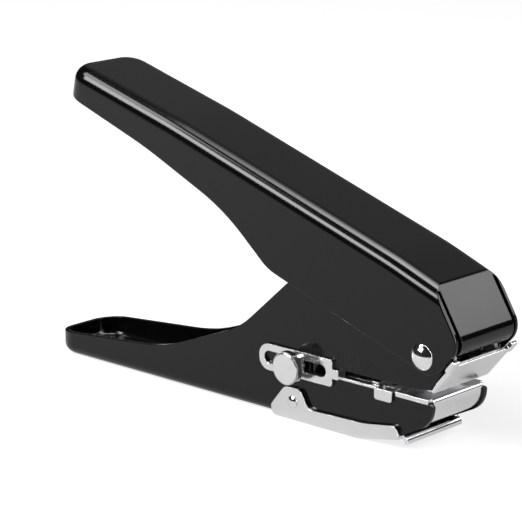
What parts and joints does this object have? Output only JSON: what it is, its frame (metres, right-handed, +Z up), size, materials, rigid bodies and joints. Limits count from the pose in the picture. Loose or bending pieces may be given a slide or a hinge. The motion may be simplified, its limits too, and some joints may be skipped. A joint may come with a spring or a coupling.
{
  "type": "card slot punch",
  "caption": "Hand-squeezed slot punch for plastic cards: black folded-sheet frame and lever, chrome jaws, sliding depth guide with knurled screw, drop-down chip tray.",
  "frame": {"origin": "on the plane that the punch stands on, in its middle plane, half-way between the rear end of the lower handle and the nose", "axes": "+X to the nose, +Z up; the depth guide and its screw are on the -Y side"},
  "size_m": [0.1498, 0.0326, 0.0864],
  "materials": {
    "black_paint": "satin",
    "chrome": "bright",
    "steel": "ground",
    "plastic": "matte"
  },
  "bodies": {
    "frame": {"body_frame": "black_paint", "upper_jaw_plate": "chrome", "die_plate": "chrome", "die_block": "steel", "die_screws": "steel", "punch_guide": "steel", "guide_screws": "steel", "pivot_rivet": "chrome", "pivot_sleeve": "steel", "spring_foot": "plastic", "return_spring": "steel", "guide_nut": "steel", "tray_rivets": "chrome"},
    "lever": {"lever_shell": "black_paint", "lever_bracket": "steel", "drive_pin": "steel", "drive_pin_rings": "steel", "spring_cap": "plastic"},
    "punch": {"slot_punch": "steel"},
    "guide": {"depth_guide": "chrome"},
    "screw": {"thumb_screw": "chrome"},
    "tray": {"chip_tray": "chrome"}
  },
  "joints": [
    {"name": "lever_hinge", "type": "hinge", "parent": "frame", "child": "lever", "pos_m": [0.064, 0, 0.0268], "axis": [0, -1, 0], "range_deg": [0, 20], "stiffness_Nm_per_rad": 1.9, "springref_deg": -10.89, "deforming": ["return_spring"]},
    {"name": "punch_slide", "type": "slide", "parent": "frame", "child": "punch", "axis": [0, 0, -1], "range_m": [0, 0.00481]},
    {"name": "guide_slide", "type": "slide", "parent": "frame", "child": "guide", "axis": [1, 0, 0], "range_m": [-0.008, 0]},
    {"name": "screw_turn", "type": "hinge", "parent": "frame", "child": "screw", "pos_m": [0.0214, -0.015, 0.0158], "axis": [0, -1, 0], "range_deg": [0, 360]},
    {"name": "tray_hinge", "type": "hinge", "parent": "frame", "child": "tray", "pos_m": [0.0198, 0, 0.0051], "axis": [0, 1, 0], "range_deg": [0, 35]}
  ],
  "couplings": [
    {"joint": "punch_slide", "follows": "lever_hinge", "m_per_rad": 0.01374}
  ]
}
